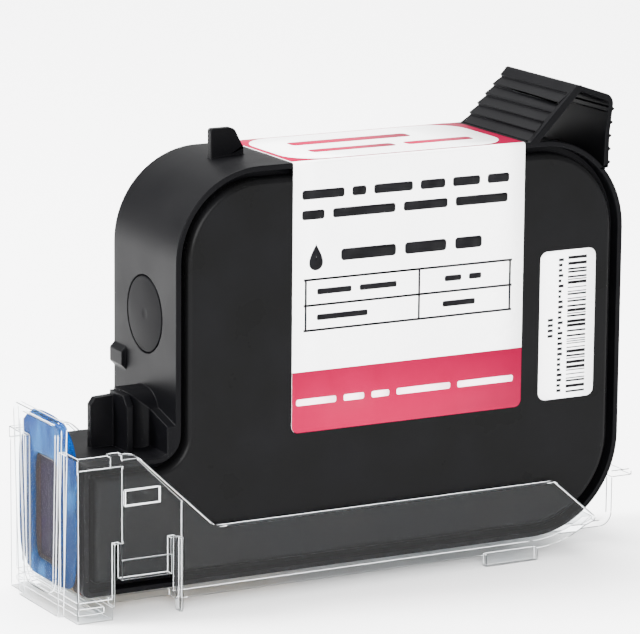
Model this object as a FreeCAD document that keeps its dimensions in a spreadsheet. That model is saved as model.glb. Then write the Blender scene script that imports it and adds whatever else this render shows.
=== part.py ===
"""Half-inch thermal inkjet cartridge of a date coder, in its clear clip.

Frame of the part, in millimetres: +X along the cartridge towards its handle, the
nozzles face -X; +Y goes from the label side to the back; +Z is up. The origin is on
the standing plane, under the middle of the bounding box.

Inside this file every piece is drawn in the cartridge's own frame: x = 0 is the body's
left wall, y = 0 its middle plane, z = 0 its underside. One shared Placement, bound to
the sheet, then carries each piece to the frame of the part.
"""
import FreeCAD, Part
import os
import Sketcher

Vector = FreeCAD.Vector

SIZES = [
    # body of the cartridge
    ("body_length", 73.0), ("body_height", 59.0), ("body_depth", 20.0),
    ("corner_top_left", 13.0), ("corner_top_right", 13.7), ("corner_bottom_right", 14.5),
    ("snout_reach", 14.3), ("snout_height", 18.9), ("snout_corner", 1.0), ("throat_radius", 3.0),
    # outer frame and what fits in it
    ("rim_width", 0.8), ("groove_width", 1.0), ("frame_wall", 2.4), ("ledge_depth", 2.0),
    ("partition_wall", 3.4), ("snout_wall", 2.4), ("nose_wall", 2.8),
    ("liner_wall", 1.5), ("liner_step", 0.2), ("film_thickness", 0.15), ("film_margin", 0.2),
    ("cover_sheet", 0.5), ("cover_edge_radius", 0.9),
    ("plate_margin", 3.6), ("plate_thickness", 0.4), ("plate_gap", 0.05), ("plate_corner", 8.0),
    ("spring_span", 44.0), ("spring_width", 12.0), ("spring_leaf", 0.3),
    # fill port in the left wall
    ("port_radius", 5.5), ("port_height", 37.3), ("port_plug", 1.0), ("port_clearance", 0.1),
    ("fill_hole_radius", 2.1), ("ball_radius", 2.0),
    # filter and standpipe in the snout
    ("filter_length", 7.6), ("filter_height", 12.0), ("filter_depth", 11.8), ("filter_border", 1.2),
    ("screen_thickness", 0.15), ("spout_radius", 2.9), ("spout_bore", 1.6), ("spout_clearance", 0.1),
    ("nipple_radius", 1.9), ("nipple_length", 1.6), ("feed_width", 1.6),
    # print head on the nose
    ("nozzle_width", 7.4), ("nozzle_length", 14.2), ("nozzle_base", 3.3), ("nozzle_sheet", 0.1),
    ("die_width", 4.4), ("die_thickness", 0.6), ("die_margin", 0.7),
    ("flex_sheet", 0.12), ("flex_width", 17.0), ("flex_tail", 24.0), ("flex_window_gap", 0.1),
    ("bead_radius", 0.25), ("bead_offset", 0.45),
    ("pad_side", 1.4), ("pad_pitch", 2.3), ("pad_height", 0.06), ("pad_start", 3.0), ("pad_rows_gap", 3.4),
    # handle
    ("handle_foot", 16.3), ("handle_peak", 8.2), ("handle_rise", 7.9), ("handle_fall", 2.1),
    ("handle_end", 1.9), ("handle_waist", 2.55), ("handle_waist_height", 0.4), ("handle_root", 4.7),
    ("handle_slope_wall", 1.1), ("handle_wall", 0.8), ("handle_border", 1.0),
    ("rib_pitch", 1.95), ("rib_height", 0.4), ("rib_reach", 0.25),
    # lugs and gusset
    ("lug_start", 10.0), ("lug_length", 5.2), ("lug_rise", 4.0), ("lug_slope", 1.5),
    ("lug_thickness", 1.2), ("lug_front", 0.8),
    ("side_lug_height", 28.0), ("side_lug_rise", 3.4), ("side_lug_width", 4.0), ("side_lug_reach", 0.7),
    ("gusset_top", 26.8), ("gusset_half", 5.0), ("gusset_plate", 1.0), ("gusset_x", 4.2),
    ("gusset_chamfer", 1.2), ("gusset_fin", 3.5), ("gusset_fin_width", 1.3), ("gusset_fin_drop", 0.5),
    ("hood_top", 26.95), ("hood_half", 4.8), ("hood_shoulder", 4.0), ("hood_reach", 4.3),
    ("skirt_top", 24.6), ("skirt_end", 23.2), ("skirt_reach", 1.4),
    # labels
    ("label_sheet", 0.12), ("label_left", 18.2), ("label_width", 37.8), ("label_base", 20.1),
    ("label_back_gap", 0.5), ("label_corner", 1.0), ("label_back_corner", 2.5),
    ("barcode_end_gap", 4.6), ("barcode_width", 9.4), ("barcode_base", 20.55), ("barcode_height", 22.15),
    ("barcode_corner", 1.2),
    # clear clip
    ("clip_wall", 1.0), ("clip_side_gap", 0.2), ("clip_floor_gap", 0.4), ("clip_foot", 3.2),
    ("clip_side_top", 20.25), ("clip_slope_start", 6.9), ("clip_slope_end", 5.8), ("clip_strip_top", 8.3),
    ("clip_strip_back", 11.3), ("clip_tip_back", 4.2), ("clip_tip_z", 2.2),
    ("clip_shoulder", 2.8), ("clip_end_gap", 0.9), ("clip_end_wall", 0.6),
    ("nose_plate", 0.9), ("nose_plate_width", 16.2), ("nose_plate_foot", 13.0), ("nose_plate_top", 24.8),
    ("nose_border", 2.2), ("nose_recess", 0.5), ("nose_recess_base", -0.6), ("nose_recess_corner", 2.5),
    ("window_left", 10.0), ("window_right", 0.6), ("window_top", 7.6), ("window_slot", 0.8),
    ("tongue_end", 2.45), ("barb_top", 5.35), ("barb_reach", 0.5), ("floor_notch", 1.2),
    ("bump_left", 8.9), ("bump_right", 3.3), ("bump_base", 13.1), ("bump_top", 15.4), ("bump_reach", 0.6),
    ("panel_left", 9.0), ("panel_right", 0.3), ("panel_proud", 0.25),
    ("band_height", 1.6), ("band_right", 10.75), ("band_proud", 0.35),
    ("latch_rise", 0.3),
    ("rib_width", 0.5), ("rib_proud", 0.5),
    ("left_foot_end", 10.4), ("right_foot_back", 14.2), ("right_foot_length", 8.8),
    ("tail_width", 10.0), ("tail_reach", 2.5), ("tail_top", 7.0), ("tab_reach", 3.4),
    # seal pad
    ("seal_width", 19.0), ("seal_base", 0.4), ("seal_top", 24.6), ("seal_corner", 8.2),
    ("seal_sheet", 0.4), ("seal_block_inset", 0.9), ("seal_gap", 0.45),
]

doc = FreeCAD.newDocument("date_coder_cartridge")
sheet = doc.addObject("Spreadsheet::Sheet", "Sizes")
for row, (alias, number) in enumerate(SIZES, start=1):
    sheet.set("A%d" % row, alias)
    sheet.set("B%d" % row, "%.12g" % number)
    sheet.setAlias("B%d" % row, alias)
doc.recompute()


class Size:
    """A length that carries its value and the sheet formula that it comes from."""

    def __init__(self, value, formula):
        self.value = value
        self.formula = formula

    @staticmethod
    def of(thing):
        """Any plain number becomes a Size with itself as formula."""
        return thing if isinstance(thing, Size) else Size(float(thing), "(%.12g)" % thing)

    def __add__(self, other):
        other = Size.of(other)
        return Size(self.value + other.value, "(%s + %s)" % (self.formula, other.formula))

    def __sub__(self, other):
        other = Size.of(other)
        return Size(self.value - other.value, "(%s - %s)" % (self.formula, other.formula))

    def __mul__(self, other):
        other = Size.of(other)
        return Size(self.value * other.value, "(%s * %s)" % (self.formula, other.formula))

    def __truediv__(self, other):
        other = Size.of(other)
        return Size(self.value / other.value, "(%s / %s)" % (self.formula, other.formula))

    def __neg__(self):
        return Size(0.0, "0") - self

    def __radd__(self, other):
        return Size.of(other) + self

    def __rsub__(self, other):
        return Size.of(other) - self

    def __rmul__(self, other):
        return Size.of(other) * self


def size(alias):
    """The sheet's cell of that alias, as a Size."""
    return Size(float(sheet.get(alias)), "Sizes." + alias)


def smallest(first, second):
    """The lesser of two Sizes, kept as a formula."""
    low = min(first.value, second.value)
    return Size(low, "min(%s; %s)" % (first.formula, second.formula))


# ---------------------------------------------------------------- making tools

NORMAL_SIGN = {"XY_Plane": 1, "XZ_Plane": -1, "YZ_Plane": 1}
AXES = {"XY_Plane": ("x", "y"), "XZ_Plane": ("x", "z"), "YZ_Plane": ("y", "z")}


def sketch_on(body, plane, offset):
    """A sketch on one of the body's origin planes, moved along the plane's normal."""
    sketch = body.newObject("Sketcher::SketchObject", "Outline")
    roles = {feature.Role: feature for feature in body.Origin.OriginFeatures}
    sketch.AttachmentSupport = (roles[plane], [""])
    sketch.MapMode = "FlatFace"
    sketch.setExpression("AttachmentOffset.Base.z", offset.formula)
    return sketch


def draw_polygon(sketch, corners):
    """A closed loop of lines through the corners, each pinned to the sheet both ways."""
    first = sketch.GeometryCount
    count = len(corners)
    spots = [Vector(a.value, b.value, 0) for a, b in corners]
    lines = [Part.LineSegment(spots[i], spots[(i + 1) % count]) for i in range(count)]
    sketch.addGeometry(lines, False)
    for i in range(count):
        sketch.addConstraint(Sketcher.Constraint("Coincident", first + i, 2, first + (i + 1) % count, 1))
    for i, (a, b) in enumerate(corners):
        across = sketch.addConstraint(Sketcher.Constraint("DistanceX", -1, 1, first + i, 1, a.value))
        sketch.setExpression("Constraints[%d]" % across, a.formula)
        along = sketch.addConstraint(Sketcher.Constraint("DistanceY", -1, 1, first + i, 1, b.value))
        sketch.setExpression("Constraints[%d]" % along, b.formula)


def prism(plane, corners, low, high):
    """A padded body between two distances along the plane's axis.

    corners are (a, b) or (a, b, radius); a radius rounds that upright edge.
    """
    corners = [tuple(Size.of(part) for part in corner) for corner in corners]
    low = Size.of(low)
    high = Size.of(high)
    body = doc.addObject("PartDesign::Body", "Prism")
    start = low if NORMAL_SIGN[plane] > 0 else -high
    sketch = sketch_on(body, plane, start)
    draw_polygon(sketch, [corner[:2] for corner in corners])
    sketch.Visibility = False
    pad = body.newObject("PartDesign::Pad", "Pad")
    pad.Profile = sketch
    pad.setExpression("Length", (high - low).formula)
    body.Tip = pad
    rounds = [(a, b, r) for a, b, r in (c for c in corners if len(c) == 3) if r.value > 0]
    if not rounds:
        return body
    doc.recompute()
    return round_uprights(body, plane, rounds)


def round_uprights(base, plane, rounds):
    """Round the edges that run along the plane's normal through the given corners."""
    first, second = AXES[plane]
    chosen = []
    for index, edge in enumerate(base.Shape.Edges, start=1):
        ends = [vertex.Point for vertex in edge.Vertexes]
        for a, b, radius in rounds:
            here = all(
                abs(getattr(end, first) - a.value) < 1e-4 and abs(getattr(end, second) - b.value) < 1e-4
                for end in ends
            )
            if here and len(ends) == 2:
                chosen.append((index, radius.value, radius.value))
    if len(chosen) != len(rounds):
        raise RuntimeError("an upright edge to round was not found")
    fillet = doc.addObject("Part::Fillet", "Rounded")
    fillet.Base = base
    fillet.Edges = chosen
    return fillet


def box(x, y, z):
    """A box between two places along each axis; each argument is (low, high)."""
    solid = doc.addObject("Part::Box", "Block")
    for (low, high), length, axis in zip((x, y, z), ("Length", "Width", "Height"), "xyz"):
        low = Size.of(low)
        high = Size.of(high)
        solid.setExpression(length, (high - low).formula)
        solid.setExpression("Placement.Base." + axis, low.formula)
    return solid


TURNS = {
    "x": FreeCAD.Rotation(Vector(0, 1, 0), 90),
    "y": FreeCAD.Rotation(Vector(1, 0, 0), -90),
    "z": FreeCAD.Rotation(),
}


def rod(axis, radius, start, length, angle=360):
    """A cylinder from a start point along +x, +y or +z."""
    solid = doc.addObject("Part::Cylinder", "Rod")
    solid.Placement = FreeCAD.Placement(Vector(), TURNS[axis])
    solid.setExpression("Radius", Size.of(radius).formula)
    solid.setExpression("Height", Size.of(length).formula)
    solid.Angle = angle
    for name, place in zip("xyz", start):
        solid.setExpression("Placement.Base." + name, Size.of(place).formula)
    return solid


def fuse(*pieces):
    """One solid from pieces that touch or overlap."""
    joined = doc.addObject("Part::MultiFuse", "Joined")
    joined.Shapes = list(pieces)
    joined.Refine = True
    return joined


def cut(base, *tools):
    """The base with the tools taken away."""
    result = doc.addObject("Part::Cut", "Trimmed")
    result.Base = base
    result.Tool = tools[0] if len(tools) == 1 else fuse(*tools)
    result.Refine = True
    return result


def common(first, second):
    """What two pieces share."""
    result = doc.addObject("Part::Common", "Shared")
    result.Base = first
    result.Tool = second
    return result


def group(*pieces):
    """Separate solids kept together as one node."""
    result = doc.addObject("Part::Compound", "Group")
    result.Links = list(pieces)
    return result


# ---------------------------------------------------------------- shared places

LENGTH = size("body_length")
HEIGHT = size("body_height")
HALF = size("body_depth") / 2
REACH = size("snout_reach")
SNOUT_TOP = size("snout_height")
LEDGE = HALF - size("ledge_depth")
LINER_FACE = LEDGE - size("liner_step")
GROOVE_IN = size("rim_width") + size("groove_width")
NOZZLE_LOW = size("nozzle_base")
NOZZLE_HIGH = size("nozzle_base") + size("nozzle_length")
SNOUT_MIDDLE = SNOUT_TOP / 2
SNOUT_INNER_LEFT = size("nose_wall") - REACH
SNOUT_INNER_RIGHT = size("frame_wall") - size("partition_wall")
FLEX_FACE = -REACH - size("flex_sheet")

# Shares of the handle's slope, from its peak to its foot.
TOOTH_FIRST = 0.15
TOOTH_PITCH = 0.162
TOOTH_LAND = 0.012
TOOTH_DEPTH = 0.034
# How far each grip rib reaches, as multiples of the rib's reach, from the top one down.
RIB_LEAN = (2.9, 2.0, 1.3, 1.0, 0.9)


def whole_outline(inset):
    """Corners of body and snout together, all walls moved in by the inset."""
    tip = size("snout_corner")
    tip_radius = Size(max(tip.value - inset.value, 0.5), tip.formula)
    return [
        (-REACH + inset, inset, tip_radius),
        (LENGTH - inset, inset, size("corner_bottom_right") - inset),
        (LENGTH - inset, HEIGHT - inset, size("corner_top_right") - inset),
        (inset, HEIGHT - inset, size("corner_top_left") - inset),
        (inset, SNOUT_TOP - inset, size("throat_radius") + inset),
        (-REACH + inset, SNOUT_TOP - inset, tip_radius),
    ]


def body_outline(inset):
    """Corners of the main chamber alone, with a small radius at its lower left."""
    return [
        (inset, inset, size("throat_radius")),
        (LENGTH - inset, inset, size("corner_bottom_right") - inset),
        (LENGTH - inset, HEIGHT - inset, size("corner_top_right") - inset),
        (inset, HEIGHT - inset, size("corner_top_left") - inset),
    ]


# ---------------------------------------------------------------- outer frame

def handle():
    """Thumb handle, open from side to side: a sloped, toothed face and a ribbed end wall."""
    foot = (LENGTH - size("handle_foot"), HEIGHT - 0.3)
    peak = (LENGTH - size("handle_peak"), HEIGHT + size("handle_rise"))
    shoulder = (LENGTH - size("handle_end"), peak[1] - size("handle_fall"))
    waist = (LENGTH - size("handle_waist"), HEIGHT + size("handle_waist_height"))
    root = (waist[0] - 0.1, HEIGHT - size("handle_root"))
    inside = (foot[0], root[1])
    shell = prism("XZ_Plane", [foot, peak + (0.5,), shoulder + (1.6,), waist, root, inside], -HALF, HALF)
    wall = size("handle_wall")
    slope = size("handle_slope_wall")
    hollow = prism("XZ_Plane", [
        (foot[0] + slope * 1.4, foot[1]),
        (peak[0] + slope * 0.4, peak[1] - slope, 0.3),
        (shoulder[0] - wall, shoulder[1] - wall, 0.8),
        (waist[0] - wall, waist[1]),
        (root[0] - wall, root[1]),
        (foot[0] + slope * 1.4, root[1]),
    ], -HALF - 1, HALF + 1)
    return fuse(cut(shell, hollow, *handle_teeth(foot, peak)), *handle_ribs(waist))


def handle_teeth(foot, peak):
    """Cutters for six saw teeth down the slope, from a smooth border out to the far side."""
    count = 6
    run = (foot[0] - peak[0], foot[1] - peak[1])
    inward = (-run[1] * TOOTH_DEPTH, run[0] * TOOTH_DEPTH)
    span = (size("handle_border") - HALF, HALF + 1)
    cutters = []
    for number in range(count):
        lip = TOOTH_FIRST + TOOTH_PITCH * number
        end = min(lip + TOOTH_PITCH - TOOTH_LAND, 1.0)
        edge = (peak[0] + run[0] * lip, peak[1] + run[1] * lip)
        cutters.append(prism("XZ_Plane", [
            (edge[0] - inward[0], edge[1] - inward[1]),
            (edge[0] + inward[0], edge[1] + inward[1]),
            (peak[0] + run[0] * end, peak[1] + run[1] * end),
        ], *span))
    return cutters


def handle_ribs(waist):
    """Five small grip ribs across the end wall, from the shoulder down."""
    top = waist[1] + size("rib_pitch") * 1.8
    high = size("rib_height")
    ribs = []
    for number in range(5):
        middle = top - size("rib_pitch") * number
        ribs.append(prism("XZ_Plane", [
            (waist[0] - 0.5, middle - high), (waist[0] - 0.5, middle + high),
            (waist[0] + size("rib_reach") * RIB_LEAN[number], middle + high * 0.4),
            (waist[0] + size("rib_reach") * RIB_LEAN[number], middle - high * 0.4),
        ], -HALF, HALF))
    return ribs


def top_lug():
    """Thin keying blade on the top wall, its back edge leaning and rounded."""
    start = size("lug_start")
    end = start + size("lug_length")
    base = HEIGHT - size("rim_width") - 0.4
    top = HEIGHT + size("lug_rise")
    return prism("XZ_Plane", [
        (start, base),
        (end, base),
        (end, HEIGHT + size("lug_rise") * 0.25, 1.2),
        (end - size("lug_slope"), top, 1.2),
        (start, top, 0.4),
    ], -size("lug_front"), size("lug_thickness") - size("lug_front"))


def side_lug():
    """Small lug with chamfered ends near the back of the left wall."""
    low = size("side_lug_height")
    high = low + size("side_lug_rise")
    reach = size("side_lug_reach")
    return prism("XZ_Plane", [
        (0.5, low),
        (0.5, high),
        (0.0, high),
        (-reach, high - reach),
        (-reach, low + reach),
        (0.0, low),
    ], HALF - size("side_lug_width"), HALF)


def gusset():
    """An upright angle on the snout: a cross plate and a fin that points to the nose."""
    back = -size("gusset_x")
    front = back - size("gusset_plate")
    top = size("gusset_top")
    half = size("gusset_half")
    chamfer = size("gusset_chamfer")
    root = SNOUT_TOP - 0.3
    fin_half = size("gusset_fin_width") / 2
    plate = prism("YZ_Plane", [
        (-half, root),
        (fin_half, root),
        (fin_half, top),
        (chamfer - half, top),
        (-half, top - chamfer * 1.2),
    ], front, back)
    tip = front - size("gusset_fin")
    fin_top = top - size("gusset_fin_drop")
    fin = prism("XZ_Plane", [
        (tip, root),
        (back, root),
        (back, fin_top),
        (tip + chamfer * 0.6, fin_top - size("gusset_fin_drop") * 0.4),
        (tip, fin_top - chamfer),
    ], -fin_half, fin_half)
    return fuse(plate, fin)


def hood():
    """An arched boss and a lower skirt, on the snout against the left wall."""
    root = SNOUT_TOP - 0.3
    half = size("hood_half")
    top = size("hood_top")
    shoulder = size("hood_shoulder")
    arch = prism("YZ_Plane", [
        (-half, root), (half, root), (half, top, shoulder), (-half, top, shoulder),
    ], -size("hood_reach"), 0.5)
    nose = rod("z", half, (half - size("hood_reach"), 0, root), top - root)
    skirt = prism("YZ_Plane", [
        (-HALF, root), (HALF, root), (HALF, size("skirt_end")), (half, size("skirt_top")),
        (-half, size("skirt_top")), (-HALF, size("skirt_end")),
    ], -size("skirt_reach"), 0.5)
    return fuse(common(arch, nose), skirt)


def outer_frame():
    """The moulded frame: ring, snout, handle, lugs, partition and nose wall."""
    blank = fuse(
        prism("XZ_Plane", whole_outline(Size.of(0)), -HALF, HALF),
        handle(), top_lug(), side_lug(), gusset(), hood(),
    )
    recess = whole_outline(size("rim_width"))
    middle = SNOUT_MIDDLE
    feed = size("feed_width") / 2
    die_low = NOZZLE_LOW + size("die_margin")
    die_high = NOZZLE_HIGH - size("die_margin")
    die_side = size("die_width") / 2
    port = size("port_radius") + size("port_clearance")
    return cut(
        blank,
        prism("XZ_Plane", recess, -HALF - 1, -LEDGE),
        prism("XZ_Plane", recess, LEDGE, HALF + 1),
        prism("XZ_Plane", body_outline(size("frame_wall")), -HALF, HALF),
        box(
            (SNOUT_INNER_LEFT, SNOUT_INNER_RIGHT), (-HALF, HALF),
            (size("snout_wall"), SNOUT_TOP - size("snout_wall")),
        ),
        rod(
            "x", size("spout_radius") + size("spout_clearance"),
            (SNOUT_INNER_RIGHT - 0.5, 0, middle), size("partition_wall") + 1,
        ),
        box(
            (-REACH + size("die_thickness") - 0.1, SNOUT_INNER_LEFT + 0.5), (-feed, feed),
            (die_low + 0.8, die_high - 0.8),
        ),
        box((-REACH - 1, -REACH + size("die_thickness")), (-die_side, die_side), (die_low, die_high)),
        rod(
            "x", size("nipple_radius") + size("spout_clearance"),
            (SNOUT_INNER_LEFT - size("nipple_length"), 0, middle), size("nipple_length") + 0.5,
        ),
        rod("x", port, (-1, 0, size("port_height")), size("port_plug") + 1),
        rod("x", size("fill_hole_radius"), (0, 0, size("port_height")), size("frame_wall") + 1),
    )


def inner_frame():
    """The soft liner ring that the films are bonded to."""
    ring = cut(
        prism("XZ_Plane", body_outline(size("frame_wall")), -LINER_FACE, LINER_FACE),
        prism("XZ_Plane", body_outline(size("frame_wall") + size("liner_wall")), -HALF, HALF),
    )
    start = size("frame_wall") - 0.5
    length = size("liner_wall") + 1
    return cut(
        ring,
        rod("x", size("spout_radius") + size("spout_clearance"), (start, 0, SNOUT_MIDDLE), length),
        rod("x", size("fill_hole_radius"), (start, 0, size("port_height")), length),
    )


# ---------------------------------------------------------------- covers, films, plates

def pressed_edge(base, outer):
    """Round the long outer edge of a cover's pan."""
    doc.recompute()
    radius = size("cover_edge_radius").value
    chosen = []
    for index, edge in enumerate(base.Shape.Edges, start=1):
        if all(abs(vertex.Point.y - outer.value) < 1e-5 for vertex in edge.Vertexes):
            chosen.append((index, radius, radius))
    fillet = doc.addObject("Part::Fillet", "PressedEdge")
    fillet.Base = base
    fillet.Edges = chosen
    return fillet


def side_cover(side):
    """A pressed cover, flush with the rim, its flange standing on the ledge.

    side is -1 for the label side and +1 for the back.
    """
    sheet_thickness = size("cover_sheet")
    outer = whole_outline(GROOVE_IN)
    inner = whole_outline(GROOVE_IN + sheet_thickness)
    inside = HALF - sheet_thickness
    if side < 0:
        pan = pressed_edge(prism("XZ_Plane", outer, -HALF, -LEDGE), -HALF)
        return cut(pan, prism("XZ_Plane", inner, -inside, -LEDGE + 1))
    pan = pressed_edge(prism("XZ_Plane", outer, LEDGE, HALF), HALF)
    return cut(pan, prism("XZ_Plane", inner, LEDGE - 1, inside))


def film(side):
    """A thin film bonded to the liner's face over the whole chamber."""
    outline = body_outline(size("frame_wall") + size("film_margin"))
    if side < 0:
        return prism("XZ_Plane", outline, -LINER_FACE - size("film_thickness"), -LINER_FACE)
    return prism("XZ_Plane", outline, LINER_FACE, LINER_FACE + size("film_thickness"))


PLATE_OUTER = LINER_FACE - size("plate_gap")
PLATE_INNER = PLATE_OUTER - size("plate_thickness")


def pressure_plate(side):
    """A flat plate just inside its film, clear of the liner all round."""
    inset = size("frame_wall") + size("liner_wall") + size("plate_margin")
    radius = size("plate_corner")
    outline = [
        (inset, inset, radius),
        (LENGTH - inset, inset, radius),
        (LENGTH - inset, HEIGHT - inset, radius),
        (inset, HEIGHT - inset, radius),
    ]
    if side < 0:
        return prism("XZ_Plane", outline, -PLATE_OUTER, -PLATE_INNER)
    return prism("XZ_Plane", outline, PLATE_INNER, PLATE_OUTER)


def bow_spring():
    """Two bowed leaves joined at their ends, which push the plates apart."""
    rise = PLATE_INNER - size("plate_gap")
    half_span = size("spring_span") / 2
    radius = (half_span * half_span + rise * rise) / (rise * 2)
    low = HEIGHT / 2 - size("spring_width") / 2

    def lens(bow_radius):
        """The shape that two equal round bars share."""
        shift = radius - rise
        bars = [
            rod("z", bow_radius, (LENGTH / 2, sign * shift, low), size("spring_width"))
            for sign in (-1, 1)
        ]
        return common(*bars)

    return cut(lens(radius), lens(radius - size("spring_leaf")))


# ---------------------------------------------------------------- fill port and filter

def fill_port_plug():
    """The round disc pressed flush into the left wall."""
    return rod("x", size("port_radius"), (0, 0, size("port_height")), size("port_plug"))


def fill_port_ball():
    """The steel ball that stops the fill hole behind the disc."""
    ball = doc.addObject("Part::Sphere", "Ball")
    ball.setExpression("Radius", size("ball_radius").formula)
    ball.setExpression("Placement.Base.x", (size("port_plug") + size("ball_radius")).formula)
    ball.setExpression("Placement.Base.z", size("port_height").formula)
    return ball


FILTER_RIGHT = SNOUT_INNER_RIGHT - 0.8
FILTER_LEFT = FILTER_RIGHT - size("filter_length")


def filter_carrier():
    """The carrier in the snout: a box open to both screens, with a spout and a nipple."""
    half_height = size("filter_height") / 2
    half_depth = size("filter_depth") / 2
    border = size("filter_border")
    low = SNOUT_MIDDLE - half_height
    high = SNOUT_MIDDLE + half_height
    spout_length = 0.8 + size("partition_wall") + size("liner_wall") + 0.4
    nipple_length = (FILTER_LEFT - SNOUT_INNER_LEFT) + size("nipple_length") - 0.1
    shell = fuse(
        box((FILTER_LEFT, FILTER_RIGHT), (-half_depth, half_depth), (low, high)),
        rod("x", size("spout_radius"), (FILTER_RIGHT - 0.2, 0, SNOUT_MIDDLE), spout_length + 0.2),
        rod("x", size("nipple_radius"), (FILTER_LEFT - nipple_length, 0, SNOUT_MIDDLE), nipple_length + 0.2),
    )
    return cut(
        shell,
        box(
            (FILTER_LEFT + border, FILTER_RIGHT - border),
            (-half_depth - 1, half_depth + 1), (low + border, high - border),
        ),
        rod(
            "x", size("spout_bore"),
            (FILTER_RIGHT - border - 0.5, 0, SNOUT_MIDDLE), spout_length + border + 1,
        ),
        rod(
            "x", size("nipple_radius") - 0.8,
            (FILTER_LEFT - nipple_length - 0.5, 0, SNOUT_MIDDLE), nipple_length + border + 1,
        ),
    )


def filter_screen(side):
    """A woven screen welded over the carrier's window."""
    half_height = size("filter_height") / 2 - 0.4
    face = size("filter_depth") / 2
    outer = face + size("screen_thickness")
    depth = (-outer, -face) if side < 0 else (face, outer)
    return box(
        (FILTER_LEFT + 0.4, FILTER_RIGHT - 0.4), depth,
        (SNOUT_MIDDLE - half_height, SNOUT_MIDDLE + half_height),
    )


# ---------------------------------------------------------------- print head

def printhead_die():
    """The silicon die let into the nose."""
    side = size("die_width") / 2
    return box(
        (-REACH, -REACH + size("die_thickness")), (-side, side),
        (NOZZLE_LOW + size("die_margin"), NOZZLE_HIGH - size("die_margin")),
    )


def nozzle_plate():
    """The nozzle sheet over the die, in the window of the flexible circuit."""
    side = size("nozzle_width") / 2
    return box((-REACH - size("nozzle_sheet"), -REACH), (-side, side), (NOZZLE_LOW, NOZZLE_HIGH))


def flex_circuit():
    """The flexible circuit: down the nose, round its lower corner and along the underside."""
    sheet_thickness = size("flex_sheet")
    corner = size("snout_corner")
    half_width = size("flex_width") / 2
    top = SNOUT_TOP - corner
    strip = prism("XZ_Plane", [
        (FLEX_FACE, top),
        (FLEX_FACE, -sheet_thickness, corner + sheet_thickness),
        (size("flex_tail"), -sheet_thickness),
        (size("flex_tail"), 0),
        (-REACH, 0, corner),
        (-REACH, top),
    ], -half_width, half_width)
    gap = size("flex_window_gap")
    side = size("nozzle_width") / 2 + gap
    window = box((FLEX_FACE - 1, -REACH + 0.02), (-side, side), (NOZZLE_LOW - gap, NOZZLE_HIGH + gap))
    return cut(strip, window)


def encapsulant_beads():
    """The two beads of sealant over the leads at the ends of the nozzle sheet."""
    beads = []
    side = size("nozzle_width")
    for height in (NOZZLE_LOW - size("bead_offset"), NOZZLE_HIGH + size("bead_offset")):
        bead = rod("y", size("bead_radius"), (FLEX_FACE, -side / 2, height), side)
        keep = box((FLEX_FACE - 1, FLEX_FACE), (-side, side), (height - 1, height + 1))
        beads.append(common(bead, keep))
    return group(*beads)


def contact_pads():
    """Gold lands on the flexible circuit under the body, in two banks."""
    side = size("pad_side")
    pitch = size("pad_pitch")
    top = -size("flex_sheet")
    lands = []
    for column in range(8):
        left = size("pad_start") + pitch * column
        for row in range(3):
            near = size("pad_rows_gap") / 2 + pitch * row
            for place in (near, -near - side):
                lands.append(box((left, left + side), (place, place + side), (top - size("pad_height"), top)))
    return group(*lands)


# ---------------------------------------------------------------- labels

def main_label():
    """A label from the front cover over the top wall, with rounded ends."""
    left = size("label_left")
    right = left + size("label_width")
    thickness = size("label_sheet")
    back = HALF - size("label_back_gap")
    front = prism("XZ_Plane", [
        (left, size("label_base"), size("label_corner")),
        (right, size("label_base"), size("label_corner")),
        (right, HEIGHT + thickness),
        (left, HEIGHT + thickness),
    ], -HALF - thickness, -HALF)
    top = prism("XY_Plane", [
        (left, -HALF - thickness),
        (right, -HALF - thickness),
        (right, back, size("label_back_corner")),
        (left, back, size("label_back_corner")),
    ], HEIGHT, HEIGHT + thickness)
    return fuse(front, top)


def barcode_label():
    """The small upright label beside the main one."""
    right = LENGTH - size("barcode_end_gap")
    low = size("barcode_base")
    radius = size("barcode_corner")
    left = right - size("barcode_width")
    high = low + size("barcode_height")
    return prism("XZ_Plane", [
        (left, low, radius), (right, low, radius), (right, high, radius), (left, high, radius),
    ], -HALF - size("label_sheet"), -HALF)


# ---------------------------------------------------------------- clear clip

CLIP_IN = HALF + size("clip_side_gap")
CLIP_OUT = CLIP_IN + size("clip_wall")
FLOOR_TOP = -size("clip_floor_gap")
FLOOR_LOW = FLOOR_TOP - size("clip_wall")
STAND = -size("clip_foot")
END_OUT = -REACH - size("clip_end_gap") - size("clip_end_wall")
END_IN = END_OUT + size("clip_end_wall")
CORNER_CENTRE = (LENGTH - size("corner_bottom_right"), size("corner_bottom_right"))
TIP = (LENGTH - size("clip_tip_back"), size("clip_tip_z"))


def curved_floor():
    """The part of the floor that follows the body's lower right corner."""
    radius = size("corner_bottom_right")
    inner = radius + size("clip_floor_gap")
    centre = (CORNER_CENTRE[0], -CLIP_OUT, CORNER_CENTRE[1])
    ring = cut(
        rod("y", inner + size("clip_wall"), centre, CLIP_OUT * 2),
        rod("y", inner, (centre[0], -CLIP_OUT - 1, centre[2]), CLIP_OUT * 2 + 2),
    )
    keep = box(
        (CORNER_CENTRE[0] - 0.5, TIP[0]), (-CLIP_OUT, CLIP_OUT), (FLOOR_LOW - 1, TIP[1]),
    )
    return common(ring, keep)


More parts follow.
